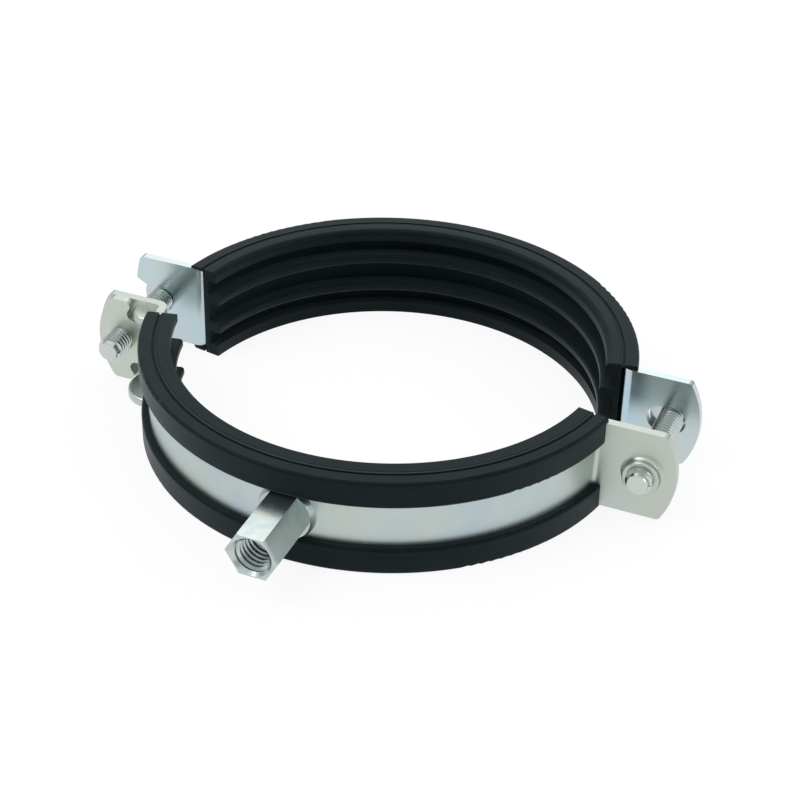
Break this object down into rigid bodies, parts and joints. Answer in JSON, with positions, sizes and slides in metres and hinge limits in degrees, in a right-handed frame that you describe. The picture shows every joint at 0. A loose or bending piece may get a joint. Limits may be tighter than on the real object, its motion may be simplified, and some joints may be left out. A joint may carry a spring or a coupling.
{
  "type": "pipe clamp",
  "caption": "Split round pipe clamp with a ribbed rubber lining, screw-closed ears, a swing nut plate and a threaded hexagonal connection boss.",
  "frame": {"origin": "centre of the pipe seat, on the pipe axis and halfway along the clamp's width", "axes": "+Z along the pipe axis, -Y through the threaded connection boss, X from ear to ear"},
  "size_m": [0.1435, 0.1292, 0.0234],
  "materials": {
    "zinc_strip": "bright zinc plated, rolled strip",
    "zinc_boss": "bright zinc plated, turned",
    "zinc_screw": "bright zinc plated, rolled thread",
    "lining_rubber": "extruded, matt to low sheen"
  },
  "bodies": {
    "front_half": {"front_band": "zinc_strip", "front_lining": "lining_rubber", "connection_boss": "zinc_boss", "swing_nut_plate": "zinc_strip"},
    "rear_half": {"rear_band": "zinc_strip", "rear_lining": "lining_rubber"},
    "right_screw_body": {"right_screw": "zinc_screw"},
    "left_screw_body": {"left_screw": "zinc_screw"}
  },
  "joints": [
    {"name": "closing", "type": "slide", "parent": "front_half", "child": "rear_half", "axis": [0, 1, 0], "range_m": [-0.0155, 0.005]},
    {"name": "right_screw_turn", "type": "hinge", "parent": "rear_half", "child": "right_screw_body", "pos_m": [0.06465, 0, 0], "axis": [0, 1, 0], "range_deg": [-5581, 1801]},
    {"name": "left_screw_turn", "type": "hinge", "parent": "rear_half", "child": "left_screw_body", "pos_m": [-0.06465, 0, 0], "axis": [0, 1, 0], "range_deg": [-5581, 1801]}
  ],
  "couplings": [
    {"joint": "right_screw_turn", "follows": "closing", "rad_per_m": 6283.2},
    {"joint": "left_screw_turn", "follows": "closing", "rad_per_m": 6283.2}
  ]
}
